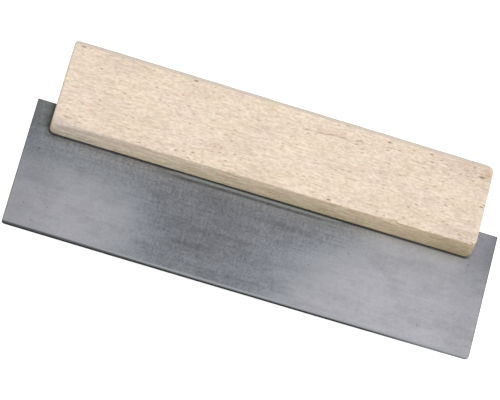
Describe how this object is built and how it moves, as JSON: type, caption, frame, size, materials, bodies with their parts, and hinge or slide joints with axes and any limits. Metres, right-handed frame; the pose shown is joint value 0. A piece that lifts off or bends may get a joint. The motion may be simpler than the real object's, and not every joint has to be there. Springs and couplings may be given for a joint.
{
  "type": "squeegee applicator",
  "caption": "Hand applicator: a thin straight steel blade bedded in a kerf along the edge of a plain rectangular beech handle block, for spreading and smoothing.",
  "frame": {"origin": "on the plane of the handle's back face, under the middle of the tool's bounding box", "axes": "+X along the blade, +Y from the working edge towards the top of the handle, +Z from the back face to the front face; the tool lies on its back"},
  "size_m": [0.2, 0.0884, 0.022],
  "materials": {
    "beech": "matte",
    "blade_steel": "satin",
    "adhesive": "satin",
    "wire_steel": "satin"
  },
  "bodies": {
    "root": {"handle_block": "beech", "blade": "blade_steel", "glue_bed": "adhesive", "brad_left": "wire_steel", "brad_middle": "wire_steel", "brad_right": "wire_steel"}
  },
  "joints": []
}
